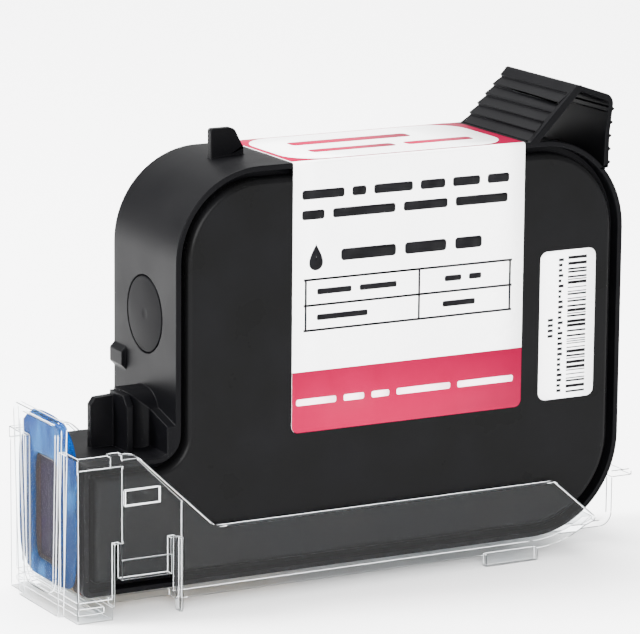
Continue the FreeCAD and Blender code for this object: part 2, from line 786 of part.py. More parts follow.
def side_profile():
    """Corners of a side wall in the XZ plane, its lower end following the floor."""
    bend = size("corner_bottom_right") + size("clip_floor_gap") + size("clip_wall")
    return [
        (END_OUT, STAND),
        (-size("left_foot_end"), STAND),
        (-size("left_foot_end"), FLOOR_LOW),
        (CORNER_CENTRE[0], FLOOR_LOW),
        (CORNER_CENTRE[0] + bend * 0.29, FLOOR_LOW + bend * 0.042),
        (CORNER_CENTRE[0] + bend * 0.53, FLOOR_LOW + bend * 0.15),
        (TIP[0] - 0.2, TIP[1] - 0.6),
        (TIP[0], TIP[1], 0.3),
        (LENGTH - size("clip_strip_back"), size("clip_strip_top"), 0.8),
        (size("clip_slope_end"), size("clip_strip_top"), 1.2),
        (-size("clip_slope_start"), size("clip_side_top"), size("clip_shoulder")),
        (END_OUT, size("clip_side_top")),
    ]


def clip_side(side):
    """One side wall with its raised panel, band, bump, ribs, window and snap tongue."""
    def span(near, far):
        """Depth range at a distance from the middle plane, on the chosen side."""
        return (near, far) if side > 0 else (-far, -near)

    wall = prism("XZ_Plane", side_profile(), *span(CLIP_IN, CLIP_OUT))
    proud = CLIP_OUT + size("panel_proud")
    top = size("clip_side_top")
    panel_corner = top - size("clip_slope_start") - 0.6
    panel = prism("XZ_Plane", [
        (-size("panel_left"), size("window_top")),
        (size("panel_right"), size("window_top")),
        (size("panel_right"), panel_corner),
        (-size("clip_slope_start") + 0.2, top - 0.6),
        (-size("panel_left"), top - 0.6),
    ], *span(CLIP_OUT - 0.1, proud))
    band = prism("XZ_Plane", [
        (END_OUT, top - size("band_height")),
        (-size("band_right"), top - size("band_height")),
        (-size("band_right"), top),
        (END_OUT, top),
    ], *span(CLIP_OUT - 0.1, CLIP_OUT + size("band_proud")))
    latch = box(
        (-size("band_right") - 0.1, -size("panel_left")), span(CLIP_IN, proud),
        (top - size("band_height"), top + size("latch_rise")),
    )
    rib_span = (size("panel_right") - size("rib_width"), size("panel_right"))
    rib = box(rib_span, span(CLIP_OUT - 0.1, CLIP_OUT + size("rib_proud")), (STAND, size("window_top")))
    foot_rib = box(rib_span, span(CLIP_IN, CLIP_OUT), (STAND, FLOOR_TOP))
    bump = prism("XY_Plane", [
        (-size("bump_left"), side * (CLIP_OUT - 0.1)),
        (-size("bump_right"), side * (CLIP_OUT - 0.1)),
        (-size("bump_right"), side * (proud + size("bump_reach") * 0.6)),
        (-size("bump_left"), side * (proud + size("bump_reach"))),
    ], size("bump_base"), size("bump_top"))
    window = box(
        (-size("window_left"), -size("window_right")),
        span(CLIP_IN - size("floor_notch"), CLIP_OUT + 2), (STAND - 1, size("window_top")),
    )
    slot = size("window_slot")
    tongue_left = -size("window_left") + slot
    tongue_right = -size("window_right") - slot
    tongue = box(
        (tongue_left, tongue_right), span(CLIP_IN, proud),
        (size("tongue_end"), size("window_top") + 0.2),
    )
    barb = box(
        (tongue_left, tongue_right), span(CLIP_OUT - 0.1, CLIP_OUT + size("barb_reach")),
        (size("tongue_end"), size("barb_top")),
    )
    return fuse(cut(fuse(wall, panel, band, latch, rib, foot_rib, bump), window), tongue, barb)


def clip_nose():
    """End wall with the seal's window, and the taller, tapered plate in front of it."""
    half = size("nose_plate_width") / 2
    half_foot = size("nose_plate_foot") / 2
    front = END_OUT - size("nose_plate")
    top = size("nose_plate_top")
    border = size("nose_border")
    window = half_foot - size("seal_block_inset")
    end = cut(
        box((END_OUT, END_IN), (-CLIP_OUT, CLIP_OUT), (STAND, size("clip_side_top"))),
        box(
            (END_OUT - 1, END_IN + 1), (-window, window),
            (size("seal_base") - 0.1, size("clip_side_top") + 1),
        ),
    )
    low = size("nose_recess_base")
    corner = size("nose_recess_corner")
    plate = cut(
        prism("YZ_Plane", [
            (-half_foot, STAND), (half_foot, STAND), (half, top, 0.8), (-half, top, 0.8),
        ], front, END_OUT),
        prism("YZ_Plane", [
            (border * 0.8 - half_foot, low, corner), (half_foot - border * 0.8, low, corner),
            (half - border, top - 0.9, 1.0), (border - half, top - 0.9, 1.0),
        ], front - 1, front + size("nose_recess")),
    )
    return fuse(end, plate)


def clip_tail():
    """Flat strip past the corner, upright web and finger tab."""
    half = size("tail_width") / 2
    wall = size("clip_wall")
    web = LENGTH + size("tail_reach")
    top = size("tail_top")
    return prism("XZ_Plane", [
        (CORNER_CENTRE[0] - 1, FLOOR_LOW),
        (web, FLOOR_LOW, 2.0),
        (web, top - wall),
        (web + size("tab_reach"), top - wall),
        (web + size("tab_reach"), top, 0.4),
        (web - wall, top, 0.8),
        (web - wall, FLOOR_TOP, 1.0),
        (CORNER_CENTRE[0] - 1, FLOOR_TOP),
    ], -half, half)


def protective_clip():
    """The one-piece clear clip."""
    notch = size("floor_notch")
    left = END_OUT
    foot_end = LENGTH - size("right_foot_back")
    right_foot = (foot_end - size("right_foot_length"), foot_end)
    floor = cut(
        box((left, CORNER_CENTRE[0]), (-CLIP_OUT, CLIP_OUT), (FLOOR_LOW, FLOOR_TOP)),
        box((-size("window_left"), -size("window_right")), (CLIP_IN - notch, CLIP_OUT + 1), (STAND, 0)),
        box((-size("window_left"), -size("window_right")), (-CLIP_OUT - 1, notch - CLIP_IN), (STAND, 0)),
    )
    feet = [
        box((END_OUT, -size("left_foot_end")), (-CLIP_OUT, CLIP_OUT), (STAND, STAND + size("clip_wall"))),
        box(right_foot, (-CLIP_OUT, -CLIP_IN), (STAND, FLOOR_LOW + 0.1)),
        box(right_foot, (CLIP_IN, CLIP_OUT), (STAND, FLOOR_LOW + 0.1)),
        box(
            (-size("left_foot_end") - size("clip_wall"), -size("left_foot_end")),
            (-CLIP_OUT, CLIP_OUT), (STAND, FLOOR_LOW + 0.1),
        ),
    ]
    return fuse(clip_nose(), floor, curved_floor(), clip_side(-1), clip_side(1), clip_tail(), *feet)


def seal_pad():
    """The elastomer seal: an arched sheet on the nose and a block behind the plate."""
    half = size("seal_width") / 2
    half_block = size("nose_plate_foot") / 2 - size("seal_block_inset") - 0.1
    radius = size("seal_corner")
    face = -REACH - size("seal_gap")
    back = face - size("seal_sheet")
    low = size("seal_base")
    top = size("seal_top")
    arch = prism("YZ_Plane", [
        (-half, low, 1.5), (half, low, 1.5), (half, top, radius), (-half, top, radius),
    ], back, face)
    block_top = top - 0.8
    block_radius = smallest(radius, half_block * 0.8)
    block = prism("YZ_Plane", [
        (-half_block, low, 1.2), (half_block, low, 1.2),
        (half_block, block_top, block_radius), (-half_block, block_top, block_radius),
    ], END_OUT + 0.1, back + 0.1)
    return fuse(arch, block)


# ---------------------------------------------------------------- the assembly

NODES = {
    "outer_frame": outer_frame(),
    "inner_frame": inner_frame(),
    "front_side_cover": side_cover(-1),
    "rear_side_cover": side_cover(1),
    "front_film": film(-1),
    "rear_film": film(1),
    "front_pressure_plate": pressure_plate(-1),
    "rear_pressure_plate": pressure_plate(1),
    "bow_spring": bow_spring(),
    "fill_port_plug": fill_port_plug(),
    "fill_port_ball": fill_port_ball(),
    "filter_carrier": filter_carrier(),
    "front_filter_screen": filter_screen(-1),
    "rear_filter_screen": filter_screen(1),
    "printhead_die": printhead_die(),
    "nozzle_plate": nozzle_plate(),
    "flex_circuit": flex_circuit(),
    "encapsulant_beads": encapsulant_beads(),
    "contact_pads": contact_pads(),
    "main_label": main_label(),
    "barcode_label": barcode_label(),
    "protective_clip": protective_clip(),
    "seal_pad": seal_pad(),
}

LEFT_END = END_OUT - size("nose_plate")
RIGHT_END = LENGTH + size("tail_reach") + size("tab_reach")


def place(name, piece):
    """Name the finished piece and carry it to the frame of the part."""
    carrier = doc.addObject("Part::Compound", "Placed")
    carrier.Links = [piece]
    carrier.Label = name
    carrier.setExpression("Placement.Base.x", (-(LEFT_END + RIGHT_END) / 2).formula)
    carrier.setExpression("Placement.Base.z", size("clip_foot").formula)
    return carrier


PLACED = {name: place(name, piece) for name, piece in NODES.items()}
doc.recompute()

for thing in doc.Objects:
    if {"Invalid", "Error"} & set(thing.State):
        raise RuntimeError("%s (%s) failed: %s" % (thing.Label, thing.Name, thing.State))
for name, piece in PLACED.items():
    shape = piece.Shape
    if shape.isNull() or not shape.isValid() or not shape.Solids:
        raise RuntimeError("%s has no valid solid" % name)

os.makedirs("parts", exist_ok=True)
for name, piece in PLACED.items():
    piece.Shape.exportStep(os.path.join("parts", name + ".step"))
print("wrote %d nodes" % len(PLACED))
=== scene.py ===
"""Looks of a half-inch date coder cartridge in its clear clip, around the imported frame.

Lengths are written in millimetres in the cartridge's own frame: x = 0 is the body's left
wall, y = 0 its middle plane and z = 0 its underside. +X runs to the handle and -Y faces
the label side. `to_row` carries them to the frame of the part, in metres.
"""

import logging
import math
from dataclasses import dataclass
from enum import Enum

import bmesh
import bpy
import numpy as np
from mathutils import Matrix, Vector


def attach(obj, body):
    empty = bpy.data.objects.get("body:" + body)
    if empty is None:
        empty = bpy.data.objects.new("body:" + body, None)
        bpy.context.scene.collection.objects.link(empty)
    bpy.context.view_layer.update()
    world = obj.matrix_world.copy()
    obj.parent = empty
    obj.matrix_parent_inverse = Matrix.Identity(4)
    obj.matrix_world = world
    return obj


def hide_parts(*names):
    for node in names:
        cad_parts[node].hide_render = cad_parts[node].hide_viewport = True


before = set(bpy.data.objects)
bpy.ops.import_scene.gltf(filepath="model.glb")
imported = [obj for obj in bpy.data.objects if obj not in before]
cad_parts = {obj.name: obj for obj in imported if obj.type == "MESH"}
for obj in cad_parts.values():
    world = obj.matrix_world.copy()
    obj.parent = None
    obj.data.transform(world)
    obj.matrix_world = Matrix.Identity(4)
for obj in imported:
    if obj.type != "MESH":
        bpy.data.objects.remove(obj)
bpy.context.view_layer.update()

LOG = logging.getLogger("cartridge")
MM = 0.001
SHIFT = np.array([-31.1, 0.0, 3.2])
NOSE_X = -14.3
NOZZLE_MIDDLE = 10.4
# Points of a CAD mesh closer than this, in metres, are one point.
MERGE = 2e-6
# Points round a label's corner or bend.
ROUND_STEPS = 9


class Body(Enum):
    """The moving bodies of the frame."""

    CLIP = "clip"
    CARTRIDGE = "cartridge"


class Slot(Enum):
    """Names of the record's material slots; the new pieces here take their finishes from the palette instead.
    """

    FRAME = "frame_plastic"
    PLUG = "plug_plastic"
    LABEL = "label_film"
    CLEAR = "clear_styrene"
    SEAL = "seal_silicone"
    NOZZLE = "nozzle_nickel"
    LANDS = "gold_lands"


# ---------------------------------------------------------------- colour and nodes


def linear(code: str, alpha: float = 1.0) -> tuple[float, float, float, float]:
    """Turn an sRGB hex colour to a linear colour.

    Args:
        code: Six hex digits, such as "2a2b2d".
        alpha: Opacity to carry along.

    Returns:
        Red, green, blue and alpha, linear.
    """
    parts = np.array([int(code[i:i + 2], 16) / 255 for i in (0, 2, 4)])
    rgb = np.where(parts <= 0.04045, parts / 12.92, ((parts + 0.055) / 1.055) ** 2.4)
    return (float(rgb[0]), float(rgb[1]), float(rgb[2]), alpha)


def per_mm(size: float) -> float:
    """Texture scale for a pattern whose features are this many millimetres apart."""
    return 1.0 / (size * MM)


def wave_per_mm(pitch: float) -> float:
    """Scale of a wave texture, which repeats every 2 * pi / 20 of a unit at scale 1."""
    return per_mm(pitch) * math.tau / 20


def add_node(
    tree: bpy.types.NodeTree, kind: str, inputs: dict | None = None, **settings: object
) -> bpy.types.Node:
    """Add a shader node with its settings, constants and links.

    Args:
        tree: The node tree that gets the node.
        kind: Blender's name of the node type, such as "ShaderNodeBump".
        inputs: Socket name or index to a constant, or to the output socket to link.
        settings: Attributes of the node itself.

    Returns:
        The new node.
    """
    node = tree.nodes.new(kind)
    for key, value in settings.items():
        setattr(node, key, value)
    for key, value in (inputs or {}).items():
        if isinstance(value, bpy.types.NodeSocket):
            tree.links.new(value, node.inputs[key])
        else:
            node.inputs[key].default_value = value
    return node


# A material, its node tree, its Principled shader and the object coordinates.
Started = tuple[bpy.types.Material, bpy.types.NodeTree, bpy.types.Node, bpy.types.NodeSocket]


@dataclass(frozen=True)
class Finish:
    """A surface finish, the base of every material here.

    Its base colour drifts a little in broad clouds, the roughness drifts along, and a
    finish with a depth has a fine relief too. Spacings and depths are in millimetres.
    """

    name: str
    colour: str
    second: str
    roughness: float = 0.5
    metallic: float = 0.0
    ior: float = 1.5
    shine: float = 0.5
    clouds: float = 9.0
    octaves: float = 3.0
    drift: float = 0.05
    grain: float = 1.0
    fine_octaves: float = 2.0
    depth: float = 0.0

    def start(self) -> Started:
        """Make the material with its shader's constants set.

        Returns:
            The material, its node tree, its Principled shader and the object coordinates.
        """
        material = bpy.data.materials.new(self.name)
        material.use_nodes = True
        tree = material.node_tree
        shader = tree.nodes["Principled BSDF"]
        shader.inputs["Base Color"].default_value = linear(self.colour)
        shader.inputs["Roughness"].default_value = self.roughness
        shader.inputs["Metallic"].default_value = self.metallic
        if self.metallic < 0.5:
            shader.inputs["IOR"].default_value = self.ior
            shader.inputs["Specular IOR Level"].default_value = self.shine
        material.diffuse_color = linear(self.colour)
        place = add_node(tree, "ShaderNodeTexCoord").outputs["Object"]
        return material, tree, shader, place

    def apply(
        self, tree: bpy.types.NodeTree, shader: bpy.types.Node, clouds: bpy.types.NodeSocket,
        height: bpy.types.NodeSocket | None = None,
    ) -> None:
        """Let colour and roughness drift with one grey pattern, and raise another as relief.

        Args:
            tree: The node tree.
            shader: Its Principled shader.
            clouds: The pattern of the drift, about 0.3 to 0.7.
            height: The pattern of the relief, which is `depth` deep.
        """
        share = add_node(tree, "ShaderNodeMapRange", {0: clouds, 1: 0.3, 2: 0.7, 3: 0.0, 4: 1.0}).outputs[0]
        tones = {0: share, 6: linear(self.colour), 7: linear(self.second)}
        tone = add_node(tree, "ShaderNodeMix", tones, data_type="RGBA").outputs[2]
        tree.links.new(tone, shader.inputs["Base Color"])
        limits = {0: share, 3: max(self.roughness - self.drift, 0.0), 4: self.roughness + self.drift}
        rough = add_node(tree, "ShaderNodeMapRange", limits).outputs[0]
        tree.links.new(rough, shader.inputs["Roughness"])
        if height is not None:
            inputs = {"Height": height, "Distance": self.depth * MM, "Strength": 1.0}
            bump = add_node(tree, "ShaderNodeBump", inputs).outputs["Normal"]
            tree.links.new(bump, shader.inputs["Normal"])

    def build(self) -> bpy.types.Material:
        """Make the material from clouds and, where it has a depth, a finer grain."""
        material, tree, shader, place = self.start()
        inputs = {"Vector": place, "Scale": per_mm(self.clouds), "Detail": self.octaves}
        clouds = add_node(tree, "ShaderNodeTexNoise", inputs).outputs["Fac"]
        grain = None
        if self.depth > 0:
            inputs = {"Vector": place, "Scale": per_mm(self.grain), "Detail": self.fine_octaves}
            grain = add_node(tree, "ShaderNodeTexNoise", inputs).outputs["Fac"]
        self.apply(tree, shader, clouds, grain)
        return material


@dataclass(frozen=True)
class MouldedPlastic(Finish):
    """Injection-moulded ABS or polypropylene from a spark-eroded mould.

    The grain breaks reflections up into a satin sheen; the clouds are melt flow and
    handling. The real grain is about 0.03 mm; it is drawn coarser so that it shows.
    """

    octaves: float = 5.0
    grain: float = 0.16
    depth: float = 0.004


@dataclass(frozen=True)
class Lacquer(Finish):
    """Black stoved lacquer on a pressed steel cover: orange peel and faint rub marks."""

    octaves: float = 6.0
    grain: float = 1.4
    fine_octaves: float = 1.0
    depth: float = 0.0016


@dataclass(frozen=True)
class ClearPlastic(Finish):
    """Polystyrene from a polished mould: clear and glossy, with faint flow waves.

    Its IOR is below the real 1.59, so that the thin walls stay as clear as they look. The
    light that the real walls scatter is painted on as a very faint even glow.
    """

    grain: float = 7.0
    fine_octaves: float = 1.0
    depth: float = 0.002
    painted_glow: float = 0.025

    def start(self) -> Started:
        """Make the material see-through and set its painted glow; returns what the base does."""
        material, tree, shader, place = super().start()
        shader.inputs["Transmission Weight"].default_value = 1.0
        shader.inputs["Emission Color"].default_value = linear(self.colour)
        # Painted glow: a faint emission that stands in for light scattered in the walls.
        shader.inputs["Emission Strength"].default_value = self.painted_glow
        return material, tree, shader, place


@dataclass(frozen=True)
class SealRubber(Finish):
    """Cast blue silicone with painted light: `colour` low down and the lighter `second` high up are painted
    shading as if lit from above, and pale streaks are painted highlights.
    """

    painted_glint: str = "164c7a"
    glint_spacing: float = 3.2
    low: float = 15.0
    high: float = 25.0
    depth: float = 0.25

    def build(self) -> bpy.types.Material:
        """Make the silicone, its painted highlight streaks drawn out along Z."""
        material, tree, shader, place = self.start()
        height = add_node(tree, "ShaderNodeSeparateXYZ", {0: place}).outputs[2]
        # Painted shading: the blue grows lighter towards the top, as where light falls from above.
        low, high = ((level + SHIFT[2]) * MM for level in (self.low, self.high))
        top_light_share = add_node(tree, "ShaderNodeMapRange", {0: height, 1: low, 2: high}).outputs[0]
        tones = {0: top_light_share, 6: linear(self.colour), 7: linear(self.second)}
        tone = add_node(tree, "ShaderNodeMix", tones, data_type="RGBA").outputs[2]
        drawn = add_node(tree, "ShaderNodeMapping", {"Vector": place, "Scale": (1.0, 1.0, 0.4)}).outputs[0]
        inputs = {"Vector": drawn, "Scale": per_mm(self.glint_spacing), "Detail": 2.0}
        glint_streaks = add_node(tree, "ShaderNodeTexNoise", inputs).outputs["Fac"]
        # Painted highlights: pale streaks where the noise is high; the same noise also raises the relief.
        share = add_node(tree, "ShaderNodeMapRange", {0: glint_streaks, 1: 0.54, 2: 0.72}).outputs[0]
        tones = {0: share, 6: tone, 7: linear(self.painted_glint)}
        lit = add_node(tree, "ShaderNodeMix", tones, data_type="RGBA").outputs[2]
        tree.links.new(lit, shader.inputs["Base Color"])
        inputs = {"Height": glint_streaks, "Distance": self.depth * MM, "Strength": 1.0}
        bump = add_node(tree, "ShaderNodeBump", inputs).outputs["Normal"]
        tree.links.new(bump, shader.inputs["Normal"])
        return material


@dataclass(frozen=True)
class RolledMetal(Finish):
    """Rolled sheet: fine lines along one axis, stretched noise in colour, sheen and height."""

    line: float = 0.25
    stretch: tuple[float, float, float] = (0.05, 1.0, 1.0)
    depth: float = 0.002

    def build(self) -> bpy.types.Material:
        """Make the rolled material."""
        material, tree, shader, place = self.start()
        drawn = add_node(tree, "ShaderNodeMapping", {"Vector": place, "Scale": self.stretch}).outputs[0]
        inputs = {"Vector": drawn, "Scale": per_mm(self.line), "Detail": self.octaves}
        lines = add_node(tree, "ShaderNodeTexNoise", inputs).outputs["Fac"]
        self.apply(tree, shader, lines, lines)
        return material


@dataclass(frozen=True)
class WovenScreen(Finish):
    """Twill of fine stainless wire, drawn at a coarser pitch so that it shows."""

    pitch: float = 0.4
    depth: float = 0.03

    def build(self) -> bpy.types.Material:
        """Make the woven material from two crossed sets of waves."""
        material, tree, shader, place = self.start()
        inputs = {"Vector": place, "Scale": wave_per_mm(self.pitch)}
        warp, weft = (
            add_node(tree, "ShaderNodeTexWave", inputs, bands_direction=axis).outputs["Fac"]
            for axis in ("X", "Z")
        )
        weave = add_node(tree, "ShaderNodeMath", {0: warp, 1: weft}, operation="MAXIMUM").outputs[0]
        self.apply(tree, shader, weave, weave)
        return material


@dataclass(frozen=True)
class FlexFilm(Finish):
    """Amber polyimide over etched copper lines that run along the cartridge."""

    pitch: float = 0.62
    depth: float = 0.01

    def build(self) -> bpy.types.Material:
        """Make the laminate: wave lines across Y in copper under amber."""
        material, tree, shader, place = self.start()
        inputs = {"Vector": place, "Scale": wave_per_mm(self.pitch)}
        lines = add_node(tree, "ShaderNodeTexWave", inputs, bands_direction="Y").outputs["Fac"]
        self.apply(tree, shader, lines, lines)
        return material


@dataclass(frozen=True)
class CrinkledFilm(Finish):
    """Metallised film heat-sealed over the liner, with soft creases."""

    crease: float = 6.0
    depth: float = 0.2

    def build(self) -> bpy.types.Material:
        """Make the creased film."""
        material, tree, shader, place = self.start()
        inputs = {"Vector": place, "Scale": per_mm(self.crease)}
        creases = add_node(
            tree, "ShaderNodeTexVoronoi", inputs, feature="DISTANCE_TO_EDGE"
        ).outputs["Distance"]
        inputs = {"Vector": place, "Scale": per_mm(self.clouds), "Detail": self.octaves}
        clouds = add_node(tree, "ShaderNodeTexNoise", inputs).outputs["Fac"]
        self.apply(tree, shader, clouds, creases)
        return material


class Palette:
    """Every finish on the cartridge, built once.

    The blacks, the pink and the blue are darker and shine less than the real ones, because
    the white surroundings lift them.
    """

    def __init__(self) -> None:
        """Build the materials."""
        # Black ABS, injection moulded: the mould's grain spreads reflections to a satin.
        self.frame = MouldedPlastic(
            "ABS_moulded_satin_black", "030304", "060607", roughness=0.42, shine=0.028
        ).build()
        # Lacquer stoved on pressed steel: tighter reflections than the frame's.
        self.cover = Lacquer(
            "steel_stoved_lacquer_black", "050505", "080809", roughness=0.3, shine=0.035, drift=0.04
        ).build()
        # The same ABS from a coarser mould: the disc is duller than the wall round it.
        self.plug = MouldedPlastic(
            "ABS_moulded_plug_black", "030304", "050506", roughness=0.42, shine=0.012, grain=0.22
        ).build()
        # Uncoloured polypropylene, moulded: waxy and off-white.
        self.liner = MouldedPlastic(
            "polypropylene_moulded_natural", "b9b8b0", "cfcec7", roughness=0.5, clouds=6.0
        ).build()
        # Clear polystyrene from a polished mould: glossy, and seen mostly by its edges; a faint painted glow
        # stands for the light that its walls scatter.
        self.clear = ClearPlastic(
            "polystyrene_clear_polished", "ffffff", "f6fafc", roughness=0.03, ior=1.02, drift=0.015
        ).build()
        # Painted highlight: the same polystyrene drawn nearly white where an edge or a mark gathers light.
        self.edge = MouldedPlastic(
            "polystyrene_painted_edge_highlight", "f4f6f8", "ffffff", roughness=0.12, grain=0.5, depth=0.02
        ).build()
        # Cast silicone: smooth and deep blue, painted lighter towards the top and with pale painted highlight
        # streaks.
        self.seal = SealRubber(
            "silicone_cast_blue", "001e42", "00265c", roughness=0.16, ior=1.3, shine=0.008
        ).build()
        # White polyester film, calendered: flat and half glossy.
        self.label = Finish(
            "polyester_film_white", "fafafa", "f1f1f2", roughness=0.3, clouds=14.0, ior=1.55
        ).build()
        # Inks printed on the film: flat colour, a little duller than the film itself.
        self.pink = Finish(
            "print_ink_pink", "80002c", "860030", roughness=0.36, clouds=5.0, shine=0.02
        ).build()
        self.black_ink = Finish(
            "print_ink_black", "060607", "0c0c0e", roughness=0.4, clouds=3.0, shine=0.03
        ).build()
        self.white_ink = Finish(
            "print_knockout_white", "ffe9ee", "ffdfe7", roughness=0.36, clouds=3.0
        ).build()
        # Rolled stainless sheet: a soft sheen drawn out along the rolling lines.
        self.steel = RolledMetal(
            "stainless_rolled_sheet", "9c9da0", "b6b7b9", roughness=0.3, metallic=1.0
        ).build()
        # Spring steel, rolled and tempered: darker and bluer than the sheet.
        self.spring = RolledMetal(
            "spring_steel_blue_tempered", "6c6f76", "8b8f96", roughness=0.28, metallic=1.0, line=0.15
        ).build()
        # Bearing steel, polished: nearly a mirror.
        self.ball = Finish(
            "bearing_steel_polished", "c2c3c6", "d2d3d6", roughness=0.06, metallic=1.0, drift=0.03
        ).build()
        # Woven stainless wire: light wires over dark gaps.
        self.screen = WovenScreen(
            "stainless_wire_twill", "4e4f52", "a8a9ac", roughness=0.35, metallic=1.0
        ).build()
        # Silicon, ground and polished: dark and glossy, with very fine lines.
        self.silicon = RolledMetal(
            "silicon_ground_polished", "17181d", "262a35", roughness=0.16, line=0.08, shine=0.5
        ).build()
        # Electroformed nickel with a dark coat: dull purple, its lines upright.
        self.nozzle = RolledMetal(
            "nickel_electroformed_purple", "0e0816", "150e1e", roughness=0.4, line=0.12, shine=0.005,
            stretch=(1.0, 1.0, 0.08),
        ).build()
        # Polyimide laminated over etched copper: dark amber with lighter lines.
        self.flex = FlexFilm(
            "polyimide_laminate_amber", "180c0c", "2e1a14", roughness=0.36, shine=0.02
        ).build()
        # Epoxy, dispensed and cured: a smooth, nearly black bead.
        self.bead = Finish(
            "epoxy_bead_dark", "08060a", "120e14", roughness=0.3, clouds=1.5, shine=0.1
        ).build()
        # Electroplated gold: bright and warm.
        self.gold = RolledMetal(
            "gold_plated_lands", "d8a94a", "e8c478", roughness=0.2, metallic=1.0, line=0.2
        ).build()
        # Metallised polyester, heat-sealed: bright silver broken up by creases.
        self.film = CrinkledFilm(
            "polyester_metallised_film", "a9adb2", "c6cacf", roughness=0.18, metallic=1.0
        ).build()

    def for_nodes(self) -> dict[str, bpy.types.Material]:
        """The finish of every CAD node, by name."""
        return {
            "outer_frame": self.frame, "inner_frame": self.liner,
            "front_side_cover": self.cover, "rear_side_cover": self.cover,
            "front_film": self.film, "rear_film": self.film,
            "front_pressure_plate": self.steel, "rear_pressure_plate": self.steel,
            "bow_spring": self.spring, "fill_port_plug": self.plug, "fill_port_ball": self.ball,
            "filter_carrier": self.liner, "front_filter_screen": self.screen,
            "rear_filter_screen": self.screen, "printhead_die": self.silicon,
            "nozzle_plate": self.nozzle, "flex_circuit": self.flex, "encapsulant_beads": self.bead,
            "contact_pads": self.gold, "main_label": self.label, "barcode_label": self.label,
            "protective_clip": self.clear, "seal_pad": self.seal,
        }


# ---------------------------------------------------------------- meshes


def to_row(points: np.ndarray) -> np.ndarray:
    """Carry points from the cartridge's frame, mm, to the frame of the part, metres."""
    return (points + SHIFT) * MM


def quads(rows: int, columns: int, wrap_rows: bool = False, wrap_columns: bool = False) -> np.ndarray:
    """Quads of a grid whose normal is the column direction crossed with the row direction.

    Args:
        rows: Points down the grid.
        columns: Points along it.
        wrap_rows: Join the last row to the first.
        wrap_columns: Join the last column to the first.

    Returns:
        An array of four indices per quad.
    """
    index = np.arange(rows * columns).reshape(rows, columns)
    down = np.roll(index, -1, axis=0)
    right = np.roll(index, -1, axis=1)
    both = np.roll(down, -1, axis=1)
    faces = np.stack([index, right, both, down], axis=-1)
    if not wrap_rows:
        faces = faces[:-1]
    if not wrap_columns:
        faces = faces[:, :-1]
    return faces.reshape(-1, 4)


@dataclass
class Shell:
    """Points and quads of one surface."""

    points: np.ndarray
    faces: np.ndarray

    @staticmethod
    def grid(points: np.ndarray, wrap_rows: bool = False, wrap_columns: bool = False) -> "Shell":
        """A shell from a grid of points (rows, columns, 3)."""
        rows, columns = points.shape[:2]
        return Shell(points.reshape(-1, 3), quads(rows, columns, wrap_rows, wrap_columns))

    @staticmethod
    def joined(shells: list["Shell"]) -> "Shell":
        """Several shells as one, their indices shifted along."""
        starts = np.cumsum([0] + [len(shell.points) for shell in shells[:-1]])
        faces = np.concatenate([shell.faces + start for shell, start in zip(shells, starts)])
        return Shell(np.concatenate([shell.points for shell in shells]), faces)


@dataclass
class Maker:
    """Makes named pieces, dresses them and says what they ride on."""

    palette: Palette

    def register(
        self, piece: bpy.types.Object, body: Body, replaces: tuple[str, ...] = ()
    ) -> bpy.types.Object:
        """Tell the frame what a piece rides on and what it stands for.

        Args:
            piece: The finished piece.
            body: The body that it moves with.
            replaces: CAD nodes that it stands for.

        Returns:
            The piece.
        """
        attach(piece, body.value)
        if replaces:
            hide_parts(*replaces)
        LOG.info("%s on %s: %d faces", piece.name, body.value, len(piece.data.polygons))
        return piece

    def surface(
        self, name: str, shell: Shell, finish: bpy.types.Material, body: Body,
        replaces: tuple[str, ...] = (), sheet: float = 0.0, smooth: bool = True,
    ) -> bpy.types.Object:
        """Make a piece from a shell.

        Args:
            name: The piece's name.
            shell: Its surface, in the cartridge's frame.
            finish: Its material.
            body: The body that it moves with.
            replaces: CAD nodes that it stands for.
            sheet: Thickness that is added behind an open surface, in mm.
            smooth: Shade it smooth.

        Returns:
            The piece.
        """
        mesh = bpy.data.meshes.new(name)
        mesh.from_pydata(to_row(shell.points).tolist(), [], shell.faces.tolist())
        mesh.update()
        mesh.polygons.foreach_set("use_smooth", np.full(len(mesh.polygons), smooth))
        piece = bpy.data.objects.new(name, mesh)
        bpy.context.scene.collection.objects.link(piece)
        mesh.materials.append(finish)
        if sheet > 0:
            wall = piece.modifiers.new("wall", "SOLIDIFY")
            wall.thickness = sheet * MM
            wall.offset = -1.0
        return self.register(piece, body, replaces)

    def eased_copy(
        self, node: str, name: str, finish: bpy.types.Material, width: float, body: Body,
        angle: float = 32.0,
    ) -> bpy.types.Object:
        """Copy a CAD node, pair its triangles up and ease its sharp edges.

        Args:
            node: The CAD node.
            name: The piece's name.
            finish: Its material.
            width: Width of the eased edge, in mm.
            body: The body that it moves with.
            angle: Edges sharper than this, in degrees, are eased.

        Returns:
            The piece, standing for the node.
        """
        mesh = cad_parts[node].data.copy()
        mesh.name = name
        work = bmesh.new()
        work.from_mesh(mesh)
        bmesh.ops.remove_doubles(work, verts=work.verts, dist=MERGE)
        bmesh.ops.join_triangles(
            work, faces=work.faces, angle_face_threshold=math.radians(1.0), angle_shape_threshold=math.pi
        )
        work.to_mesh(mesh)
        work.free()
        mesh.polygons.foreach_set("use_smooth", np.full(len(mesh.polygons), True))
        mesh.set_sharp_from_angle(angle=math.radians(angle))
        mesh.materials.clear()
        mesh.materials.append(finish)
        mesh.polygons.foreach_set("material_index", np.zeros(len(mesh.polygons), dtype=np.int32))
        piece = bpy.data.objects.new(name, mesh)
        bpy.context.scene.collection.objects.link(piece)
        ease = piece.modifiers.new("eased_edges", "BEVEL")
        ease.width = width * MM
        ease.segments = 2
        ease.limit_method = "ANGLE"
        ease.angle_limit = math.radians(angle)
        ease.use_clamp_overlap = False
        steady = piece.modifiers.new("steady_normals", "WEIGHTED_NORMAL")
        steady.mode = "FACE_AREA"
        steady.keep_sharp = True
        return self.register(piece, body, (node,))


# ---------------------------------------------------------------- labels


